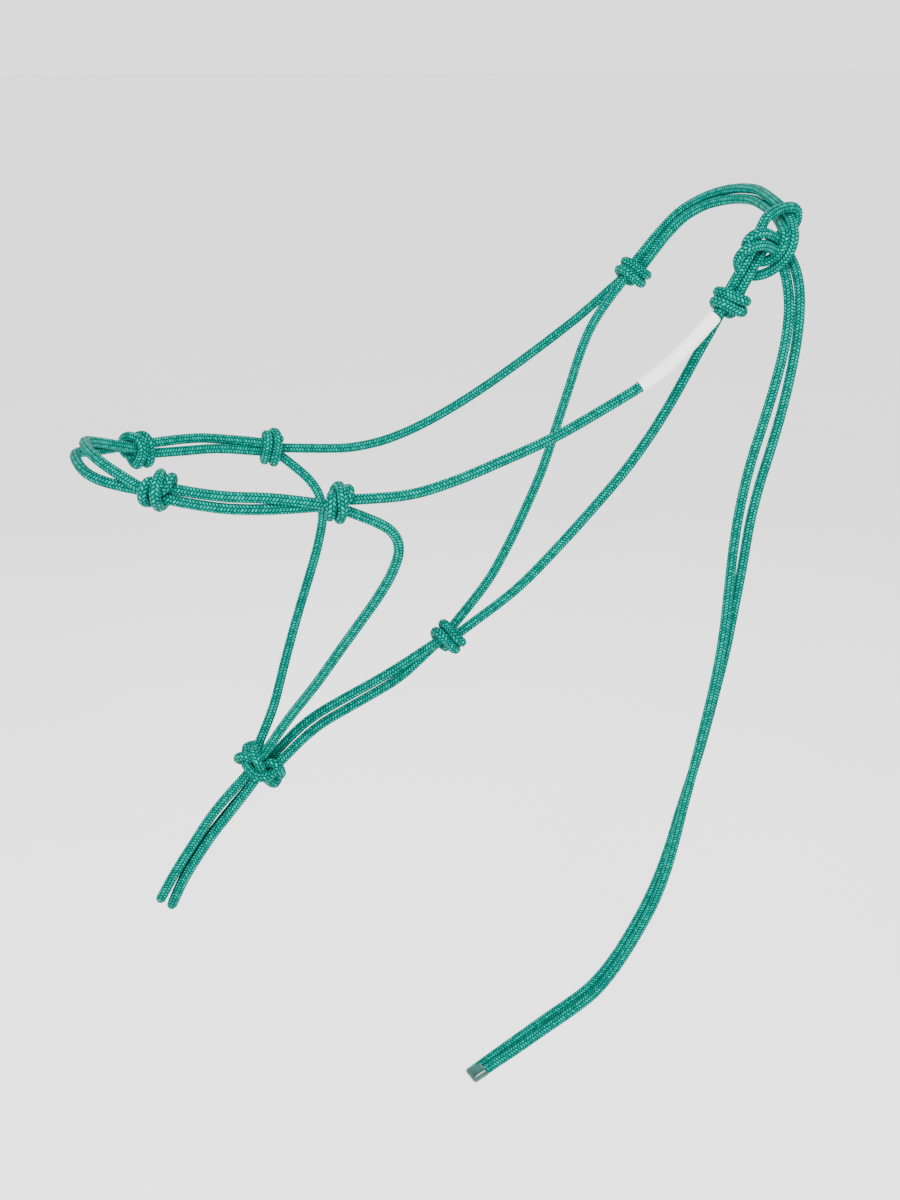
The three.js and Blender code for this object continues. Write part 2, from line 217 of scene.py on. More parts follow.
def catmull_rom(points, per_span=24):
    """The centripetal curve through the points, as the CAD strands follow."""
    points = np.vstack([2 * points[0] - points[1], points, 2 * points[-1] - points[-2]])
    out = []
    for p0, p1, p2, p3 in zip(points, points[1:], points[2:], points[3:]):
        t0 = 0.0
        t1 = t0 + math.sqrt(np.linalg.norm(p1 - p0))
        t2 = t1 + math.sqrt(np.linalg.norm(p2 - p1))
        t3 = t2 + math.sqrt(np.linalg.norm(p3 - p2))
        t = np.linspace(t1, t2, per_span, endpoint=False)[:, None]
        a1 = (t1 - t) / (t1 - t0) * p0 + (t - t0) / (t1 - t0) * p1
        a2 = (t2 - t) / (t2 - t1) * p1 + (t - t1) / (t2 - t1) * p2
        a3 = (t3 - t) / (t3 - t2) * p2 + (t - t2) / (t3 - t2) * p3
        b1 = (t2 - t) / (t2 - t0) * a1 + (t - t0) / (t2 - t0) * a2
        b2 = (t3 - t) / (t3 - t1) * a2 + (t - t1) / (t3 - t1) * a3
        out.append((t2 - t) / (t2 - t1) * b1 + (t - t1) / (t2 - t1) * b2)
    return np.vstack(out + [points[-2][None]])


def respace(points, step):
    """The same line with its points evenly spaced."""
    along = lengths(points)
    count = max(2, int(round(along[-1] / step)) + 1)
    even = np.linspace(0, along[-1], count)
    return np.stack([np.interp(even, along, points[:, k]) for k in range(3)], axis=1)


def smooth(points, times):
    """Evens out the line between its two ends."""
    points = points.copy()
    for _ in range(times):
        points[1:-1] += 0.5 * ((points[:-2] + points[2:]) / 2 - points[1:-1])
    return points


def cut(points, start, stop):
    """The line between two lengths along it."""
    along = lengths(points)
    inside = points[(along > start + 1e-6) & (along < stop - 1e-6)]
    ends = [[np.interp(at, along, points[:, k]) for k in range(3)] for at in (start, stop)]
    return np.vstack([ends[0], inside, ends[1]])


# ---------------------------------------------------------------------------------------------
# Knots. Each is laid loose, as the rope is passed by hand, and then drawn tight.

CLOSE = 1.01                   # how near two turns settle, in cord diameters


def settle(threads, rounds, pull, straighten=0.6 * MM):
    """Shortens the threads and holds their turns a cord's width apart. The ends stay put."""
    threads = [respace(thread, NODE_STEP) for thread in threads]
    apart = CORD * CLOSE
    beside = int(round(1.35 * CORD / NODE_STEP))
    for turn in range(rounds):
        for thread in threads:
            thread[1:-1] += pull * ((thread[:-2] + thread[2:]) / 2 - thread[1:-1])
            bend = (thread[:-4] + thread[4:]) / 2 - thread[2:-2]
            size = np.linalg.norm(bend, axis=1, keepdims=True)
            thread[2:-2] += 0.5 * bend * np.minimum(1.0, straighten / np.maximum(size, 1e-9))
        if turn % 4 == 3:
            threads = [respace(thread, NODE_STEP) for thread in threads]
        owner = np.concatenate([np.full(len(thread), k) for k, thread in enumerate(threads)])
        place = np.concatenate([np.arange(len(thread)) for thread in threads])
        neighbours = owner[:, None] == owner[None, :]
        neighbours &= np.abs(place[:, None] - place[None, :]) < beside
        for _ in range(5):
            every = np.vstack(threads)
            gap = every[:, None, :] - every[None, :, :]
            far = np.sqrt((gap ** 2).sum(-1)) + 1e-9
            push = np.where((far < apart) & ~neighbours, (apart - far) / far, 0.0)
            touching = np.maximum((push > 0).sum(1), 1)[:, None]
            shift = 0.65 * (push[:, :, None] * gap).sum(1) / np.sqrt(touching)
            size = np.linalg.norm(shift, axis=1, keepdims=True)
            shift *= np.minimum(1.0, 0.9 * MM / np.maximum(size, 1e-9))
            first = 0
            for thread in threads:
                thread[3:-3] += shift[first + 3:first + len(thread) - 3]
                first += len(thread)
    return threads


def polar(along, radius, angle):
    """A point in cord diameters, round an axis that runs through a knot."""
    angle = math.radians(angle)
    return (along, radius * math.cos(angle), radius * math.sin(angle))


def double_overhand():
    """The core runs straight through. The other strand is tied round it in two turns."""
    core = [(-2.0, 0.1, 0.6), (0.0, 0.0, 0.6), (2.0, 0.0, 0.6)]
    first, turns = 210, 840
    tie = [polar(-2.6, 0.7, first), polar(-1.0, 0.7, first), polar(1.0, 0.75, first)]
    tie.append(polar(2.0, 1.3, first + 15))
    for step in range(22):
        part = step / 21
        tie.append(polar(1.5 - 3.0 * part, 2.3, first + 15 + part * (turns - 15)))
    tie += [polar(-2.1, 1.3, first + turns), polar(-1.0, 0.75, first + turns)]
    tie += [polar(1.0, 0.7, first + turns), polar(2.6, 0.7, first + turns)]
    return np.array(core), np.array(tie)


def overhand_knot(centre, ahead, facing, spin, hand, enters, leaves):
    """Ties two strands at a knot. enters and leaves hold each strand's line outside the knot,
    the core's first. spin turns the knot about its own length, hand is +1 or -1."""
    ahead = ahead / np.linalg.norm(ahead)
    side = ahead * (facing @ ahead) - facing
    side /= np.linalg.norm(side)
    up = np.cross(ahead, side)
    angle = math.radians(spin)
    out = []
    for line, before, after in zip(double_overhand(), enters, leaves):
        line = line * (1, hand, 1)
        y = line[:, 1] * math.cos(angle) - line[:, 2] * math.sin(angle)
        z = line[:, 1] * math.sin(angle) + line[:, 2] * math.cos(angle)
        placed = centre + CORD * (line[:, :1] * ahead + y[:, None] * side + z[:, None] * up)
        out.append(catmull_rom(np.vstack([before, placed, after])))
    return settle(out, 220 if FINE else 120, 0.35)


def diamond():
    """Four strands. Each turns down over the top, passes outside the next and comes up the middle
    under the one after it."""
    turns = [
        (0.78, 0, -3.6), (0.78, 0, -2.0), (0.78, 0, 0.2), (1.1, 2, 1.5), (1.8, 8, 1.9), (2.5, 14, 1.2),
        (2.7, 22, 0.0), (2.6, 40, -1.2), (2.7, 65, -1.8), (3.3, 95, -1.6), (3.4, 115, -0.9),
        (2.9, 140, -0.1), (2.0, 160, 0.4), (1.45, 178, 1.0), (0.9, 200, 2.0), (0.78, 205, 3.2),
    ]
    return [np.array([polar(z, radius, angle + 90 * k) for radius, angle, z in turns]) for k in range(4)]


def diamond_knot(centre, axis, front, below, above):
    """Ties four strands. below and above hold their lines on each side of the knot."""
    axis = axis / np.linalg.norm(axis)
    front = front - axis * (front @ axis)
    front /= np.linalg.norm(front)
    side = np.cross(axis, front)
    out = []
    for line, before, after in zip(diamond(), below, above):
        turned = math.radians(45)
        y = line[:, 1] * math.cos(turned) - line[:, 2] * math.sin(turned)
        z = line[:, 1] * math.sin(turned) + line[:, 2] * math.cos(turned)
        placed = centre + CORD * (line[:, :1] * axis + y[:, None] * front + z[:, None] * side)
        out.append(catmull_rom(np.vstack([before, placed, after])))
    return settle(out, 130 if FINE else 80, 0.35)


# The hitch that closes the crown: the eye from the left crown knot, and the crown pair that comes
# through it, passes behind its legs and goes under itself.
HITCH_TURNS = {
    "outer": mm(
        (-3, -33, 7), (-5, -50, 3), (-6, -62, -2), (-8, -71, -8), (-10, -76, -14), (-11, -77, -21),
        (-14, -75, -28), (-17, -72, -33), (-23, -69, -37), (-29, -66, -39), (-36, -66, -36),
        (-44, -71, -30), (-49, -78, -23), (-48, -82, -18), (-42, -84, -14), (-34, -83, -14),
        (-25, -78, -17), (-16, -71, -23), (-10, -68, -28), (-8, -70, -34), (-9, -75, -40),
        (-10, -79, -47), (-12, -83, -55)),
    "inner": mm(
        (-4, -30, 1), (-7, -48, -2), (-9, -62, -5), (-13, -71, -10), (-16, -76, -15), (-17, -76, -22),
        (-20, -74, -26), (-23, -71, -30), (-27, -67, -31), (-32, -66, -28), (-38, -69, -22),
        (-43, -76, -16), (-43, -81, -10), (-39, -83, -8), (-32, -81, -8), (-23, -76, -11),
        (-13, -69, -17), (-6, -66, -24), (-4, -70, -30), (-4, -75, -37), (-5, -80, -43), (-5, -83, -56)),
    "eye": mm(
        (-51, -74, -44), (-48, -79, -35), (-44, -80, -28), (-38, -78, -21), (-33, -75, -14),
        (-31, -74, -7), (-28, -73, -2), (-20, -69, 2), (-12, -66, 4), (-5, -64, 3), (1, -62, -2),
        (1, -61, -7), (-5, -62, -11), (-12, -64, -13), (-20, -68, -16), (-28, -74, -21),
        (-35, -77, -28), (-38, -76, -35), (-41, -72, -42), (-42, -68, -48)),
}


def close_hitch():
    """Routes through the hitch: each crown strand with its tail, and the eye."""
    starts = (ROUTES.pop("crown_strand_outer")[:-4], ROUTES.pop("crown_strand_inner")[:-4])
    tails = (ROUTES.pop("tail_leading")[3:], ROUTES.pop("tail_trailing")[3:])
    lines = []
    for start, turns, tail in zip(starts, (HITCH_TURNS["outer"], HITCH_TURNS["inner"]), tails):
        lines.append(catmull_rom(np.vstack([start, turns, tail])))
    eye = catmull_rom(HITCH_TURNS["eye"])
    marks = []
    for line in lines:
        along = lengths(line)
        over = along[np.nonzero(line[:, 1] < -15 * MM)[0][0]]
        hangs = along[np.nonzero(line[:, 2] > -70 * MM)[0][-1]]
        marks.append((over, hangs))
    loose = [cut(line, *mark) for line, mark in zip(lines, marks)] + [eye]
    tied = settle(loose, 14, 0.03, 0.1 * MM)
    for name, line, thread, (over, hangs) in zip(("crown_outer", "crown_inner"), lines, tied, marks):
        before = cut(line, 0.0, over)[:-1]
        after = cut(line, hangs, lengths(line)[-1])[1:]
        ROUTES[name] = np.vstack([before, thread, after])
    ROUTES["crown_loop"] = tied[2]


close_hitch()


def route_line(name):
    """A route as a fine line. Those through the hitch are fine already."""
    route = ROUTES[name]
    return route if len(route) > 60 else catmull_rom(route)


LINES = {name: route_line(name) for name in ROUTES}

# Each knot: the way through it, the turn about that way, the hand it is tied with, and its strands.
# A strand is named with the end of its route that meets the knot. The core's come first.
OVERHANDS = {
    "nose_knot_left": (218, -1, (
        (("nose_strand_lower", 0), ("nose_side_strand_left_lower", 0)),
        (("nose_strand_upper", 0), ("nose_side_strand_left_upper", 0)))),
    "nose_knot_right": (60, -1, (
        (("nose_strand_upper", -1), ("nose_side_strand_right_upper", 0)),
        (("nose_strand_lower", -1), ("nose_side_strand_right_lower", 0)))),
    "side_knot_left": (218, -1, (
        (("nose_side_strand_left_lower", -1), ("chin_strand_left", 0)),
        (("nose_side_strand_left_upper", -1), ("cheek_strand_left", 0)))),
    "side_knot_right": (145, -1, (
        (("nose_side_strand_right_lower", -1), ("chin_strand_right", 0)),
        (("nose_side_strand_right_upper", -1), ("cheek_strand_right", 0)))),
    "crown_knot_left": (0, -1, (
        (("cheek_strand_left", -1), ("crown_loop", 0)),
        (("jowl_strand_left", -1), ("crown_loop", -1)))),
    "crown_knot_right": (30, -1, (
        (("jowl_strand_right", -1), ("crown_outer", 0)),
        (("cheek_strand_right", -1), ("crown_inner", 0)))),
    "jowl_knot": (75, -1, (
        (("throat_strand_upper", -1), ("jowl_strand_right", 0)),
        (("throat_strand_lower", -1), ("jowl_strand_left", 0)))),
}
FIADOR = (
    (("lead_loop_front", 0), ("throat_strand_upper", 0)),
    (("lead_loop_rear", 0), ("chin_strand_right", -1)),
    (("lead_loop_rear", -1), ("chin_strand_left", -1)),
    (("lead_loop_front", -1), ("throat_strand_lower", 0)),
)
NEAR = 31 * MM                 # the anchored ends of a knot's strands start this far from its centre
HELD = 8 * MM                  # length of strand held still beyond that

taken = {name: [0.0, lengths(line)[-1]] for name, line in LINES.items()}


def knot_middle(node):
    low, high = (np.array(corner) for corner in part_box(node))
    return (low + high) / 2, (high - low) / 2


def approach(strand, centre):
    """The last of a strand before a knot, going towards it. Notes how much of the strand is left."""
    name, end = strand
    line = LINES[name] if end == -1 else LINES[name][::-1]
    along = lengths(line)
    near = NEAR if name != "crown_loop" else 17 * MM
    outside = np.linalg.norm(line - centre, axis=1) > near
    half = along < along[-1] / 2
    stop = along[np.nonzero(outside | half)[0][-1]]
    taken[name][end] = stop - HELD if end == -1 else along[-1] - (stop - HELD)
    return respace(cut(line, stop - HELD, stop), 2 * MM)


threads = {}                   # from one strand's end to another's: the line between and the knot


def join(knot, pairs, lines):
    for (first, second), line in zip(pairs, lines):
        threads[first] = (second, line, knot)
        threads[second] = (first, line[::-1], knot)


for knot, (spin, hand, pairs) in OVERHANDS.items():
    centre, _ = knot_middle(knot)
    enters = [approach(first, centre) for first, _ in pairs]
    leaves = [approach(second, centre)[::-1] for _, second in pairs]
    ahead = sum(line[0] for line in leaves) - sum(line[-1] for line in enters)
    facing = np.array([-0.25, -0.95, 0.1])
    join(knot, pairs, overhand_knot(centre, ahead, facing, spin, hand, enters, leaves))

centre, _ = knot_middle("fiador_knot")
below = [approach(first, centre) for first, _ in FIADOR]
above = [approach(second, centre)[::-1] for _, second in FIADOR]
join("fiador_knot", FIADOR, diamond_knot(
    centre, np.array([0.6, 0.0, 0.8]), np.array([-0.8, 0.0, 0.6]), below, above))

# ---------------------------------------------------------------------------------------------
# Runs: the rope followed through strand and knot, so that the braid never breaks


def first_length(line, test):
    return lengths(line)[np.nonzero(test(line))[0][0]]


def last_length(line, test):
    return lengths(line)[np.nonzero(test(line))[0][-1]]


TAIL_TOP = -40 * MM            # height at which the tail leaves the hitch
TAIL_JOIN = -306 * MM          # height at which the tail's lower piece starts
EYE_LOW = -27 * MM
EYE_HIGH = -11 * MM


def stretches(name, line):
    """The named pieces of a route, with the length along it at which each one starts."""
    if name in ("crown_outer", "crown_inner"):
        side = "leading" if name == "crown_outer" else "trailing"
        return [
            ("crown_strand_" + name.split("_")[1], 0.0),
            ("crown_hitch", first_length(line, lambda p: p[:, 1] < -62 * MM)),
            ("tail_upper_" + side, last_length(line, lambda p: p[:, 2] > TAIL_TOP)),
            ("tail_lower_" + side, last_length(line, lambda p: p[:, 2] > TAIL_JOIN)),
        ]
    if name == "crown_loop":
        return [
            ("crown_loop_leg_front", 0.0),
            ("crown_hitch", first_length(line, lambda p: p[:, 2] > EYE_LOW)),
            ("crown_loop_bight", first_length(line, lambda p: p[:, 2] > EYE_HIGH)),
            ("crown_hitch", last_length(line, lambda p: p[:, 2] > EYE_HIGH)),
            ("crown_loop_leg_rear", last_length(line, lambda p: p[:, 2] > EYE_LOW)),
        ]
    return [(name, 0.0)]


def close_run(line, pieces):
    """A run that comes back to its start begins where its last piece does."""
    total = lengths(line)[-1]
    last = pieces[-1][1]
    line = np.vstack([cut(line, last, total)[:-1], cut(line, 0.0, last)])
    pieces = [(piece, at + total - last) for piece, at in pieces[:-1]]
    return line, [(pieces[0][0], 0.0)] + pieces[1:]


def follow(start):
    """One run of rope from a strand's end: its line, and each piece with the length it starts at."""
    parts, pieces, at = [], [], 0.0
    current = start
    while True:
        name, end = current
        used.add(name)
        line = cut(LINES[name], *taken[name])
        length = lengths(line)[-1]
        named = stretches(name, line)
        if end == -1:
            line = line[::-1]
            stops = [stretch_start for _, stretch_start in named[1:]] + [length]
            named = [(piece, length - stop) for (piece, _), stop in zip(named, stops)][::-1]
        if pieces and pieces[-1][0] == named[0][0]:
            named = named[1:]
        pieces += [(piece, at + offset) for piece, offset in named]
        parts.append(line[1:])
        at += length
        other = (name, -1 if end == 0 else 0)
        if other not in threads:
            return np.vstack(parts), pieces
        after, thread, knot = threads.pop(other)
        threads.pop(after)
        middle, half = knot_middle(knot)
        within = np.nonzero(np.linalg.norm((thread - middle) / half, axis=1) < 1.0)[0]
        along = lengths(thread)
        pieces.append((knot, at + along[within[0]]))
        next_piece = stretches(after[0], LINES[after[0]])[0 if after[1] == 0 else -1][0]
        pieces.append((next_piece, at + along[within[-1]]))
        parts.append(thread[1:])
        at += along[-1]
        current = after
        if current[0] in used:
            return close_run(np.vstack(parts), pieces)


used = set()
runs = [follow(("crown_outer", -1))]
for strand in LINES:
    if strand not in used:
        runs.append(follow((strand, 0)))

# ---------------------------------------------------------------------------------------------
# Rope surface


def float_height(turn, along):
    """Height of the braid, 0 to 1: columns of slanted floats, alternate columns leaning apart."""
    column = np.floor(turn * COLUMNS)
    across = turn * COLUMNS - column - 0.5
    odd = np.mod(column, 2)
    place = along / PITCH + 0.5 * odd + FLOAT_SLANT * (1 - 2 * odd) * across
    up = place - np.floor(place) - 0.5
    ridge = np.clip(1 - np.abs(2 * across) ** 2.4, 0, 1) ** 0.5
    crown = np.clip(1 - np.abs(2 * up) ** 2.6, 0, 1) ** 0.5
    return ridge * crown


def directions(line):
    tangents = np.gradient(line, axis=0)
    return tangents / np.linalg.norm(tangents, axis=1, keepdims=True)


def carried_sides(tangents):
    """A direction square to the line that is carried along it without twisting."""
    sides = np.empty_like(tangents)
    side = np.cross(tangents[0], (0.3, 0.1, 1.0))
    for k, tangent in enumerate(tangents):
        side = side - tangent * (side @ tangent)
        side /= np.linalg.norm(side)
        sides[k] = side
    return sides


def rope_rings(line):
    tangents = directions(line)
    sides = carried_sides(tangents)
    others = np.cross(tangents, sides)
    along = lengths(line)
    turn = np.arange(ROUND) / ROUND
    height = float_height(turn[None, :] + 0.5 / ROUND, along[:, None])
    radius = CORD / 2 - RELIEF * 0.3 + RELIEF * height
    cosine = np.cos(2 * math.pi * turn)[None, :, None]
    sine = np.sin(2 * math.pi * turn)[None, :, None]
    outward = sides[:, None, :] * cosine + others[:, None, :] * sine
    return line[:, None, :] + radius[:, :, None] * outward


def tube_parts(rings, turns, along, first_vertex):
    """Vertices, faces and their UVs for one closed length of tube."""
    count, around = rings.shape[:2]
    vertices = rings.reshape(-1, 3)
    row = np.arange(count - 1)[:, None] * around + np.arange(around)[None, :]
    beside = np.arange(count - 1)[:, None] * around + (np.arange(around)[None, :] + 1) % around
    quads = np.stack([row, beside, beside + around, row + around], axis=-1).reshape(-1, 4)
    u = np.broadcast_to(turns[None, :], (count - 1, around))
    step = turns[1] - turns[0]
    v = np.broadcast_to(along[:, None], (count, around))
    uv = np.stack([
        np.stack([u, v[:-1]], -1), np.stack([u + step, v[:-1]], -1),
        np.stack([u + step, v[1:]], -1), np.stack([u, v[1:]], -1),
    ], axis=-2).reshape(-1, 2)
    start_cap = np.arange(around)[::-1]
    end_cap = (count - 1) * around + np.arange(around)
    cap_uv = np.full((2 * around, 2), (0.5 / COLUMNS, along[0]))
    cap_uv[around:, 1] = along[-1]
    return vertices, quads + first_vertex, (start_cap + first_vertex, end_cap + first_vertex), uv, cap_uv


def tube_object(name, tubes):
    """One object from closed tubes, each its rings, its turns and its lengths in braid pitches."""
    vertices, loops, totals, uvs = [], [], [], []
    total = 0
    for rings, turns, along in tubes:
        points, quads, caps, uv, cap_uv = tube_parts(rings, turns, along, total)
        total += len(points)
        vertices.append(points)
        loops += [quads.reshape(-1), *caps]
        totals += [np.full(len(quads), 4), np.array([len(caps[0]), len(caps[1])])]
        uvs += [uv, cap_uv]
    totals = np.concatenate(totals)
    mesh = bpy.data.meshes.new(name)
    mesh.vertices.add(total)
    mesh.vertices.foreach_set("co", np.vstack(vertices).ravel())
    mesh.loops.add(int(totals.sum()))
    mesh.loops.foreach_set("vertex_index", np.concatenate(loops).astype(np.int32))
    mesh.polygons.add(len(totals))
    starts = np.concatenate([[0], np.cumsum(totals)[:-1]])
    mesh.polygons.foreach_set("loop_start", starts.astype(np.int32))
    mesh.polygons.foreach_set("loop_total", totals.astype(np.int32))
    layer = mesh.uv_layers.new(name="cord")
    layer.data.foreach_set("uv", np.vstack(uvs).ravel())
    mesh.update(calc_edges=True)
    mesh.validate()
    mesh.shade_smooth()
    obj = bpy.data.objects.new(name, mesh)
    bpy.context.scene.collection.objects.link(obj)
    return obj


KNOT_MIDDLES = [knot_middle(knot)[0] for knot in list(OVERHANDS) + ["fiador_knot"]]


def ease_from_knots(line):
    """Takes the corners out of the strands where they run up to a knot."""
    far = np.min([np.linalg.norm(line - middle, axis=1) for middle in KNOT_MIDDLES], axis=0)
    ease = np.clip((far - 15 * MM) / (5 * MM), 0, 1) * np.clip((52 * MM - far) / (12 * MM), 0, 1)
    ease[[0, -1]] = 0
    line = line.copy()
    for _ in range(70):
        line[1:-1] += 0.5 * ease[1:-1, None] * ((line[:-2] + line[2:]) / 2 - line[1:-1])
    return line


tubes = {}                     # CAD node: its tubes
centrelines = {}               # CAD node: the line that its rope follows
for line, pieces in runs:
    before = lengths(line)[-1]
    even = ease_from_knots(smooth(respace(line, NODE_STEP), 3))
    fine = respace(catmull_rom(even, 8), RING_STEP)
    along = lengths(fine)
    scale = along[-1] / before
    rings = rope_rings(fine)
    turns = (np.arange(ROUND) + 0.5) / ROUND
    starts = [int(np.argmin(np.abs(along - at * scale))) for _, at in pieces]
    stops = starts[1:] + [len(fine) - 1]
    for (node, _), start, stop in zip(pieces, starts, stops):
        if stop - start < 2:
            continue
        span = slice(start, stop + 1)
        tubes.setdefault(node, []).append((rings[span], turns, along[span] / PITCH))
        centrelines.setdefault(node, []).append(fine[span])

# ---------------------------------------------------------------------------------------------
# Materials


def linear(colour):
    """A colour written as sRGB hex, in the light that Blender works in."""
    parts = [int(colour[k:k + 2], 16) / 255 for k in (1, 3, 5)]
    return tuple(p / 12.92 if p <= 0.04045 else ((p + 0.055) / 1.055) ** 2.4 for p in parts) + (1.0,)


def add(tree, kind, inputs=None, **settings):
    """Adds a node. An input takes a value, or the output of another node."""
    node = tree.nodes.new("ShaderNode" + kind)
    for name, value in settings.items():
        setattr(node, name, value)
    for key, value in (inputs or {}).items():
        if isinstance(value, bpy.types.NodeSocket):
            tree.links.new(value, node.inputs[key])
        else:
            node.inputs[key].default_value = value
    return node


def new_material(name):
    material = bpy.data.materials.new(name)
    material.use_nodes = True
    tree = material.node_tree
    tree.nodes.clear()
    return material, tree


def finish_material(tree, shader):
    add(tree, "OutputMaterial", {"Surface": shader.outputs[0]})


def ramp(node, stops):
    """Sets a colour ramp's stops, each its place and its colour."""
    elements = node.color_ramp.elements
    while len(elements) > 1:
        elements.remove(elements[-1])
    for k, (place, colour) in enumerate(stops):
        element = elements[0] if k == 0 else elements.new(place)
        element.position = place
        element.color = linear(colour)
    return node


def braided_polyester():
    """Solid-braid polyester cord, piece-dyed teal. The eye sees rows of slanted floats, with painted
    shade in the gaps between them, and painted highlight flecks where a float's filaments catch the
    light."""
    material, tree = new_material("teal_braided_polyester_cord")
    cord = add(tree, "UVMap", uv_map="cord")
    parts = add(tree, "SeparateXYZ", {0: cord.outputs[0]})
    turn, along = parts.outputs[0], parts.outputs[1]

    columns = add(tree, "Math", {0: turn, 1: float(COLUMNS)}, operation="MULTIPLY").outputs[0]
    column = add(tree, "Math", {0: columns}, operation="FLOOR").outputs[0]
    across = add(tree, "Math", {0: columns}, operation="FRACT").outputs[0]
    across = add(tree, "Math", {0: across, 1: 0.5}, operation="SUBTRACT").outputs[0]
    odd = add(tree, "Math", {0: column, 1: 2.0}, operation="MODULO").outputs[0]
    lean = add(
        tree, "Math", {0: odd, 1: -2 * FLOAT_SLANT, 2: FLOAT_SLANT}, operation="MULTIPLY_ADD").outputs[0]
    slanted = add(tree, "Math", {0: across, 1: lean, 2: along}, operation="MULTIPLY_ADD").outputs[0]
    place = add(tree, "Math", {0: odd, 1: 0.5, 2: slanted}, operation="MULTIPLY_ADD").outputs[0]
    row = add(tree, "Math", {0: place}, operation="FLOOR").outputs[0]
    up = add(tree, "Math", {0: place}, operation="FRACT").outputs[0]
    up = add(tree, "Math", {0: up, 1: 0.5}, operation="SUBTRACT").outputs[0]

    # How far inside its float a point is, 0 in the gap and 1 on the crest; it sets the painted shade in
    # the gaps and the bump
    edge_across = add(tree, "Math", {0: across}, operation="ABSOLUTE").outputs[0]
    edge_up = add(tree, "Math", {0: up}, operation="ABSOLUTE").outputs[0]
    edge = add(tree, "Math", {0: edge_across, 1: edge_up, 2: 0.12}, operation="SMOOTH_MAX").outputs[0]
    inside = add(
        tree, "MapRange", {0: edge, 1: 0.53, 2: 0.30, 3: 0.0, 4: 1.0}, interpolation_type="SMOOTHSTEP")
    inside = inside.outputs[0]

    # Each float has its own tone
    which = add(tree, "CombineXYZ", {0: column, 1: row}).outputs[0]
    own = add(tree, "TexWhiteNoise", {"Vector": which}, noise_dimensions="2D").outputs["Value"]

    # Filaments lie along the lean of their float, about 0.2 mm apart, which is coarser than real
    # ones so that they show. They are broken up, as the filaments of a bulked yarn are.
    lie = add(tree, "Math", {0: up, 1: 9.0}, operation="MULTIPLY").outputs[0]
    drift = add(tree, "Math", {0: across, 1: 1.6, 2: row}, operation="MULTIPLY_ADD").outputs[0]
    strand_place = add(tree, "CombineXYZ", {0: lie, 1: drift, 2: column}).outputs[0]
    filaments = add(
        tree, "TexNoise", {"Vector": strand_place, "Scale": 1.3, "Detail": 2.0, "Roughness": 0.6})
    filaments = filaments.outputs[0]

    # A painted highlight: a short pale dash along the top of each float, where its filaments are pressed
    # flat and shine. Some floats get a brighter painted highlight than others.
    long_way = add(tree, "Math", {0: edge_across, 1: 0.62}, operation="MULTIPLY").outputs[0]
    short_way = add(tree, "Math", {0: edge_up, 1: 1.5}, operation="MULTIPLY").outputs[0]
    dash = add(
        tree, "Math", {0: long_way, 1: short_way, 2: 0.1}, operation="SMOOTH_MAX").outputs[0]
    highlight_dash_area = add(
        tree, "MapRange", {0: dash, 1: 0.34, 2: 0.14, 3: 0.0, 4: 1.0}, interpolation_type="SMOOTHSTEP")
    glint = add(tree, "Math", {0: own, 1: 0.5, 2: filaments}, operation="MULTIPLY_ADD").outputs[0]
    glint = add(
        tree, "MapRange", {0: glint, 1: 0.4, 2: 1.05, 3: 0.2, 4: 0.9}, interpolation_type="SMOOTHSTEP")
    painted_highlight = add(tree, "Math", {0: glint.outputs[0], 1: highlight_dash_area.outputs[0]}, operation="MULTIPLY").outputs[0]

    spread = add(tree, "Math", {0: own, 1: 0.45, 2: 0.1}, operation="MULTIPLY_ADD").outputs[0]
    tone = add(tree, "Math", {0: filaments, 1: 0.5, 2: spread}, operation="MULTIPLY_ADD").outputs[0]
    dyed = ramp(add(tree, "ValToRGB", {0: tone}), (
        (0.15, TEAL_DEEP), (0.5, TEAL), (0.85, TEAL_BRIGHT)))
    # Painted highlight: the pale dash is mixed into the dyed colour of each float
    with_painted_highlight = add(
        tree, "Mix", {0: painted_highlight, 6: dyed.outputs[0], 7: linear(TEAL_PAINTED_HIGHLIGHT)}, data_type="RGBA").outputs[2]
    # Painted shade: the gaps between floats are mixed to a dark colour
    colour = add(
        tree, "Mix", {0: inside, 6: linear(TEAL_PAINTED_GAP_SHADE), 7: with_painted_highlight}, data_type="RGBA").outputs[2]

    height = add(tree, "Math", {0: filaments, 1: 0.35, 2: inside}, operation="MULTIPLY_ADD").outputs[0]
    bump = add(tree, "Bump", {"Height": height, "Strength": 0.55, "Distance": 0.25 * MM})
    rough = add(tree, "MapRange", {0: painted_highlight, 3: 0.62, 4: 0.42}).outputs[0]
    shader = add(tree, "BsdfPrincipled", {
        "Base Color": colour, "Roughness": rough, "Normal": bump.outputs[0],
        "Specular IOR Level": 0.05, "Specular Tint": linear(TEAL_PAINTED_HIGHLIGHT),
    })
    finish_material(tree, shader)
    return material


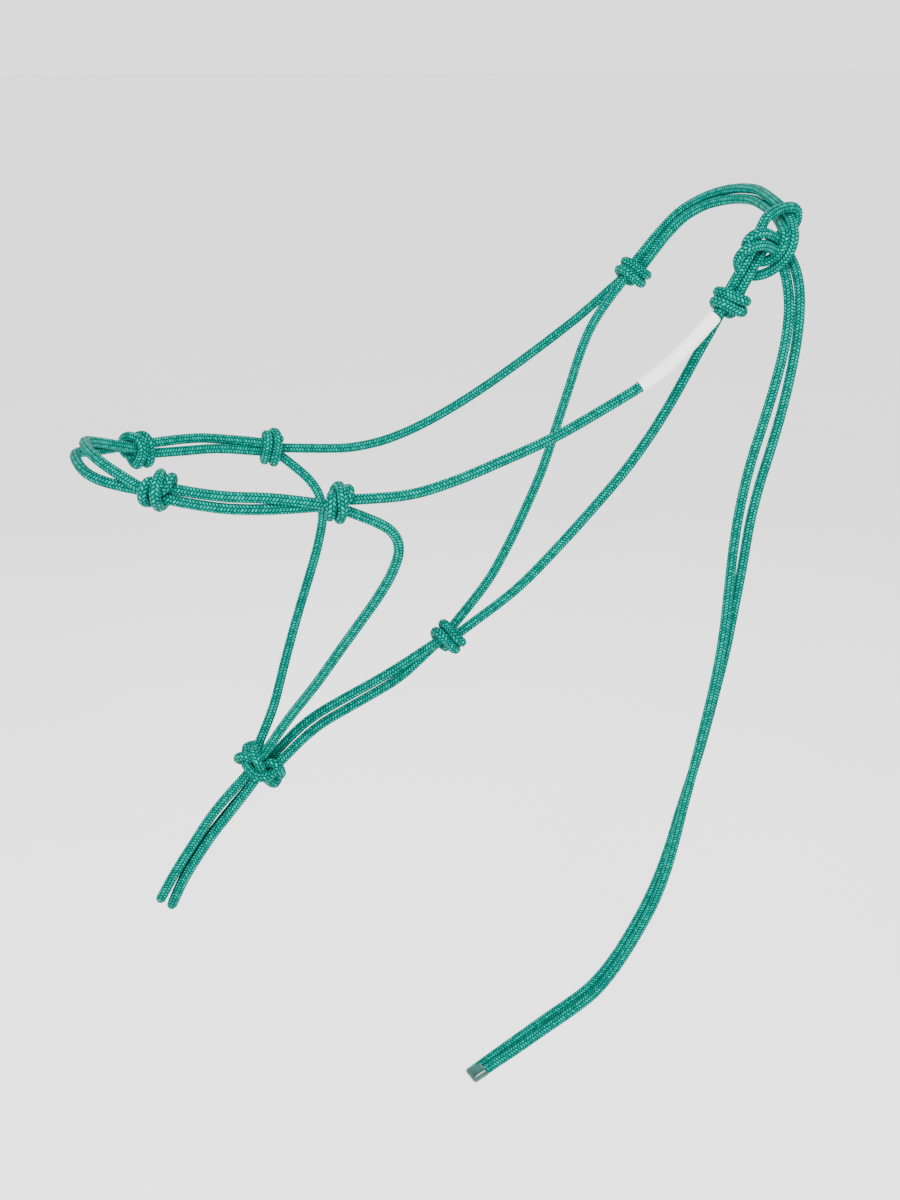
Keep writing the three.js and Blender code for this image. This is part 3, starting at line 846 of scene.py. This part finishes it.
def soft_vinyl():
    """Extruded soft PVC tube, white, pushed over the cord. The eye sees a smooth satin skin that
    lets a little light in, with faint dirt and fine wrinkles across it."""
    material, tree = new_material("white_soft_vinyl_tube")
    where = add(tree, "TexCoord").outputs["Object"]
    cloud = add(tree, "TexNoise", {"Vector": where, "Scale": 90.0, "Detail": 3.0}).outputs[0]
    fine = add(tree, "TexNoise", {"Vector": where, "Scale": 900.0, "Detail": 2.0}).outputs[0]
    colour = ramp(add(tree, "ValToRGB", {0: cloud}), (
        (0.3, "#e9eae6"), (0.5, "#f5f6f3"), (0.75, "#fafbf9")))
    height = add(tree, "Math", {0: fine, 1: 0.3, 2: cloud}, operation="MULTIPLY_ADD").outputs[0]
    bump = add(tree, "Bump", {"Height": height, "Strength": 0.18, "Distance": 0.5 * MM})
    rough = add(tree, "MapRange", {0: cloud, 3: 0.34, 4: 0.5}).outputs[0]
    shader = add(tree, "BsdfPrincipled", {
        "Base Color": colour.outputs[0], "Roughness": rough, "IOR": 1.53, "Normal": bump.outputs[0],
        "Subsurface Weight": 0.15, "Subsurface Radius": (0.8 * MM, 0.8 * MM, 0.7 * MM),
        "Subsurface Scale": 1.0,
    })
    finish_material(tree, shader)
    return material


def shrink_tube():
    """Heat-shrink polyolefin, dark green, shrunk over the rope's ends. The eye sees a glossy, tight
    skin that takes up the shape of the rope below it."""
    material, tree = new_material("green_shrunk_polyolefin")
    where = add(tree, "TexCoord").outputs["Object"]
    cloud = add(tree, "TexNoise", {"Vector": where, "Scale": 160.0, "Detail": 3.0}).outputs[0]
    colour = ramp(add(tree, "ValToRGB", {0: cloud}), (
        (0.3, "#07302b"), (0.55, "#0c463f"), (0.8, "#125a51")))
    bump = add(tree, "Bump", {"Height": cloud, "Strength": 0.3, "Distance": 0.5 * MM})
    rough = add(tree, "MapRange", {0: cloud, 3: 0.16, 4: 0.32}).outputs[0]
    shader = add(tree, "BsdfPrincipled", {
        "Base Color": colour.outputs[0], "Roughness": rough, "IOR": 1.5, "Normal": bump.outputs[0],
        "Coat Weight": 0.4, "Coat Roughness": 0.1,
    })
    finish_material(tree, shader)
    return material


def painted_floor():
    """A matt painted studio floor, off-white."""
    material, tree = new_material("matt_white_studio_paint")
    where = add(tree, "TexCoord").outputs["Object"]
    cloud = add(tree, "TexNoise", {"Vector": where, "Scale": 3.0, "Detail": 2.0}).outputs[0]
    colour = ramp(add(tree, "ValToRGB", {0: cloud}), ((0.3, "#fbfbfa"), (0.7, "#ffffff")))
    shader = add(tree, "BsdfPrincipled", {
        "Base Color": colour.outputs[0], "Roughness": 0.9, "Specular IOR Level": 0.1,
        "Emission Color": linear("#ffffff"), "Emission Strength": 0.75,
    })
    finish_material(tree, shader)
    return material


ROPE_FINISH = braided_polyester()
SLEEVE_FINISH = soft_vinyl()
CAP_FINISH = shrink_tube()

# ---------------------------------------------------------------------------------------------
# Pieces

pieces = {}
for node, parts in tubes.items():
    piece = tube_object(node + "_cord", parts)
    piece.data.materials.append(ROPE_FINISH)
    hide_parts(node)
    pieces[node] = piece


def sleeve_piece():
    """The white tube: 60 mm long, ending just short of the left crown knot."""
    line = centrelines["cheek_strand_left"][0]
    if line[0][0] > line[-1][0]:
        line = line[::-1]
    stop = lengths(line)[-1] - 0.5 * MM
    low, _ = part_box("label_sleeve")
    start = first_length(line, lambda p: p[:, 0] > low[0] + 1.5 * MM)
    body = respace(smooth(cut(line, start, stop), 30), 0.8 * MM)
    tangents = directions(body)
    sides = carried_sides(tangents)
    others = np.cross(tangents, sides)
    along = lengths(body)
    around = 48
    angle = 2 * math.pi * np.arange(around) / around
    ripple = 0.05 * MM * np.sin(along[:, None] * 2 * math.pi / (7.3 * MM) + 2 * np.sin(angle)[None, :])
    ripple += 0.04 * MM * np.sin(along[:, None] * 2 * math.pi / (2.9 * MM) + 3 * np.cos(angle)[None, :])
    outer = 4.25 * MM + ripple
    inner = np.full_like(outer, 3.55 * MM)
    lip = np.minimum(along, along[-1] - along)
    outer -= (0.28 * MM * np.clip(1 - lip / (0.8 * MM), 0, 1) ** 2)[:, None]
    wall = np.vstack([outer, inner[::-1]])
    spine = np.vstack([body, body[::-1]])
    side = np.vstack([sides, sides[::-1]])
    other = np.vstack([others, others[::-1]])
    outward = side[:, None] * np.cos(angle)[None, :, None] + other[:, None] * np.sin(angle)[None, :, None]
    rings = spine[:, None] + wall[:, :, None] * outward
    return loop_object("label_sleeve_tube", rings)


def loop_object(name, rings):
    """A closed skin from rings that come back to the first one."""
    count, around = rings.shape[:2]
    rows = np.arange(count)[:, None] * around
    beyond = ((np.arange(count) + 1) % count)[:, None] * around
    here, beside = np.arange(around)[None, :], (np.arange(around)[None, :] + 1) % around
    quads = np.stack([rows + here, rows + beside, beyond + beside, beyond + here], -1).reshape(-1, 4)
    mesh = bpy.data.meshes.new(name)
    mesh.from_pydata(rings.reshape(-1, 3).tolist(), [], quads.tolist())
    mesh.update()
    mesh.shade_smooth()
    obj = bpy.data.objects.new(name, mesh)
    bpy.context.scene.collection.objects.link(obj)
    return obj


def cap_piece():
    """Shrink tube over both tail ends: it dips between the two cords and closes in at its mouth."""
    lead = centrelines["tail_lower_leading"][0]
    trail = centrelines["tail_lower_trailing"][0]
    lead = lead if lead[-1][2] < lead[0][2] else lead[::-1]
    trail = trail if trail[-1][2] < trail[0][2] else trail[::-1]
    back = respace(lead, 0.5 * MM)[::-1]
    other = respace(trail, 0.5 * MM)[::-1]
    middle = (back[0] + other[0]) / 2
    along = back[0] - back[12]
    along /= np.linalg.norm(along)
    side = other[0] - back[0]
    half = np.linalg.norm(side) / 2
    side /= np.linalg.norm(side)
    up = np.cross(along, side)
    around = 64
    angle = 2 * math.pi * np.arange(around) / around
    profile = [
        (-9.4, 3.45), (-9.3, 3.75), (-8.9, 3.9), (-8.0, 3.95), (-6.0, 3.9), (-4.0, 3.92), (-2.0, 3.85),
        (-0.5, 3.8), (0.5, 3.6), (1.1, 3.2), (1.45, 2.4), (1.5, 1.2),
    ]
    skin = []
    for place, radius in profile:
        reach = radius * MM
        squeeze = min(1.0, reach / (3.4 * MM))
        waist = 1 - 0.16 * np.sin(angle) ** 8 * np.clip(radius / 3.8, 0, 1)
        x = np.cos(angle) * reach + np.sign(np.cos(angle)) * half * squeeze * np.abs(np.cos(angle)) ** 0.5
        y = np.sin(angle) * reach * waist
        centre = middle + along * place * MM
        skin.append(centre + x[:, None] * side + y[:, None] * up)
    return closed_skin("tail_cap_shrink_tube", np.array(skin))


def closed_skin(name, rings):
    """A skin closed by a flat face at each end."""
    count, around = rings.shape[:2]
    rows = np.arange(count - 1)[:, None] * around
    here, beside = np.arange(around)[None, :], (np.arange(around)[None, :] + 1) % around
    quads = np.stack([rows + here, rows + beside, rows + around + beside, rows + around + here], -1)
    faces = quads.reshape(-1, 4).tolist()
    faces.append(list(range(around))[::-1])
    faces.append(list(range((count - 1) * around, count * around)))
    mesh = bpy.data.meshes.new(name)
    mesh.from_pydata(rings.reshape(-1, 3).tolist(), [], faces)
    mesh.update()
    mesh.shade_smooth()
    obj = bpy.data.objects.new(name, mesh)
    bpy.context.scene.collection.objects.link(obj)
    return obj


sleeve = sleeve_piece()
sleeve.data.materials.append(SLEEVE_FINISH)
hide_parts("label_sleeve")
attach(sleeve, "headpiece")

cap = cap_piece()
cap.data.materials.append(CAP_FINISH)
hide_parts("tail_cap")
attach(cap, "tail_lower")

LOOP_BLENDS = {
    "lead_loop_rear": ("headpiece", "lead_loop_rear"),
    "lead_loop_front": ("lead_loop_rear", "lead_loop_front"),
}
for node, piece in pieces.items():
    if node.startswith("tail_upper"):
        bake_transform(piece)
    elif node.startswith("tail_lower"):
        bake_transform(piece)
    elif node in LOOP_BLENDS:
        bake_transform(piece)
    else:
        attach(piece, "headpiece")

for node, piece in pieces.items():
    line = centrelines[node][0]
    length = float(lengths(line)[-1])
    if node.endswith("_knot_left") or node.endswith("_knot_right") or length < 6.2 * CORD:
        continue
    if node in ("fiador_knot", "jowl_knot", "crown_hitch"):
        continue
    hangs = node.startswith("tail") or node.startswith("lead")
    if hangs and line[0][2] < line[-1][2]:
        line = line[::-1]

# ---------------------------------------------------------------------------------------------
# Stage


def add_floor():
    mesh = bpy.data.meshes.new("floor")
    size, height = 90.0, -0.95
    corners = [(-size, -size, height), (size, -size, height), (size, size, height), (-size, size, height)]
    mesh.from_pydata(corners, [], [(0, 1, 2, 3)])
    floor = bpy.data.objects.new("floor", mesh)
    floor.data.materials.append(painted_floor())
    bpy.context.scene.collection.objects.link(floor)


def add_light(name, place, aim, size, power):
    data = bpy.data.lights.new(name, "AREA")
    data.shape = "SQUARE"
    data.size = size
    data.energy = power
    light = bpy.data.objects.new(name, data)
    light.location = place
    direction = np.array(aim) - np.array(place)
    highlight_dash_area = math.hypot(direction[0], direction[1])
    turn = math.atan2(direction[0], -direction[1]) if highlight_dash_area > 1e-9 else 0.0
    light.rotation_euler = (math.atan2(highlight_dash_area, -direction[2]), 0.0, turn + math.pi)
    bpy.context.scene.collection.objects.link(light)


def add_world():
    """White walls round the set, with a dimmer ceiling."""
    world = bpy.data.worlds.new("studio")
    world.use_nodes = True
    tree = world.node_tree
    where = add(tree, "TexCoord").outputs["Generated"]
    up = add(tree, "SeparateXYZ", {0: where}).outputs[2]
    strength = add(
        tree, "MapRange", {0: up, 1: 0.1, 2: 0.6, 3: 2.05, 4: 1.0}, interpolation_type="SMOOTHSTEP")
    tree.links.new(strength.outputs[0], tree.nodes["Background"].inputs[1])
    tree.nodes["Background"].inputs[0].default_value = (1.0, 1.0, 1.0, 1.0)
    bpy.context.scene.world = world


add_floor()
MIDDLE = (-0.2, 0.0, -0.25)
add_light("key", (-0.9, -1.3, 1.1), MIDDLE, 1.0, 64.0)
add_light("fill", (1.2, -1.0, 0.3), MIDDLE, 1.2, 12.0)
add_light("back", (0.1, 1.5, 0.9), MIDDLE, 1.2, 22.0)
add_world()
